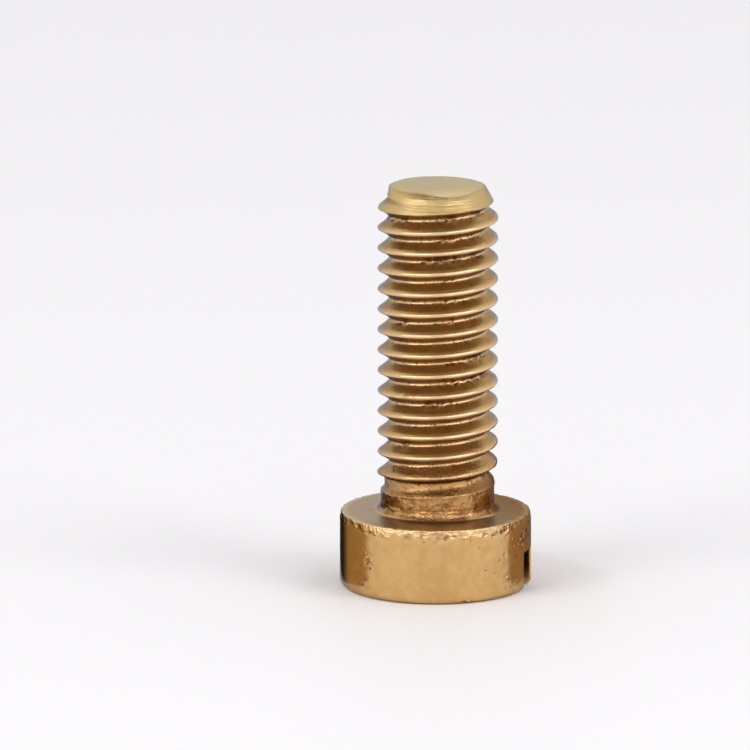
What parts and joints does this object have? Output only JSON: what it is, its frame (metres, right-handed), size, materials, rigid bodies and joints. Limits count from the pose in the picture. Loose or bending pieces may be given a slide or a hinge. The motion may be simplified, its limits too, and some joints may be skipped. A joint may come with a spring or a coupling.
{
  "type": "slotted cheese head screw",
  "caption": "Turned brass machine screw with a tall cylindrical slotted head, a short plain neck and a right-hand metric thread with a chamfered tip.",
  "frame": {"origin": "middle of the head's slotted face, on the surface the screw stands on", "axes": "+Z along the screw's axis from the head to the tip; +X along the screwdriver slot"},
  "size_m": [0.0092, 0.0092, 0.0197],
  "materials": {
    "brass": "tumbled satin brass, a little tarnished in the thread roots and nicked along the head's edges"
  },
  "bodies": {
    "root": {"screw": "brass"}
  },
  "joints": []
}
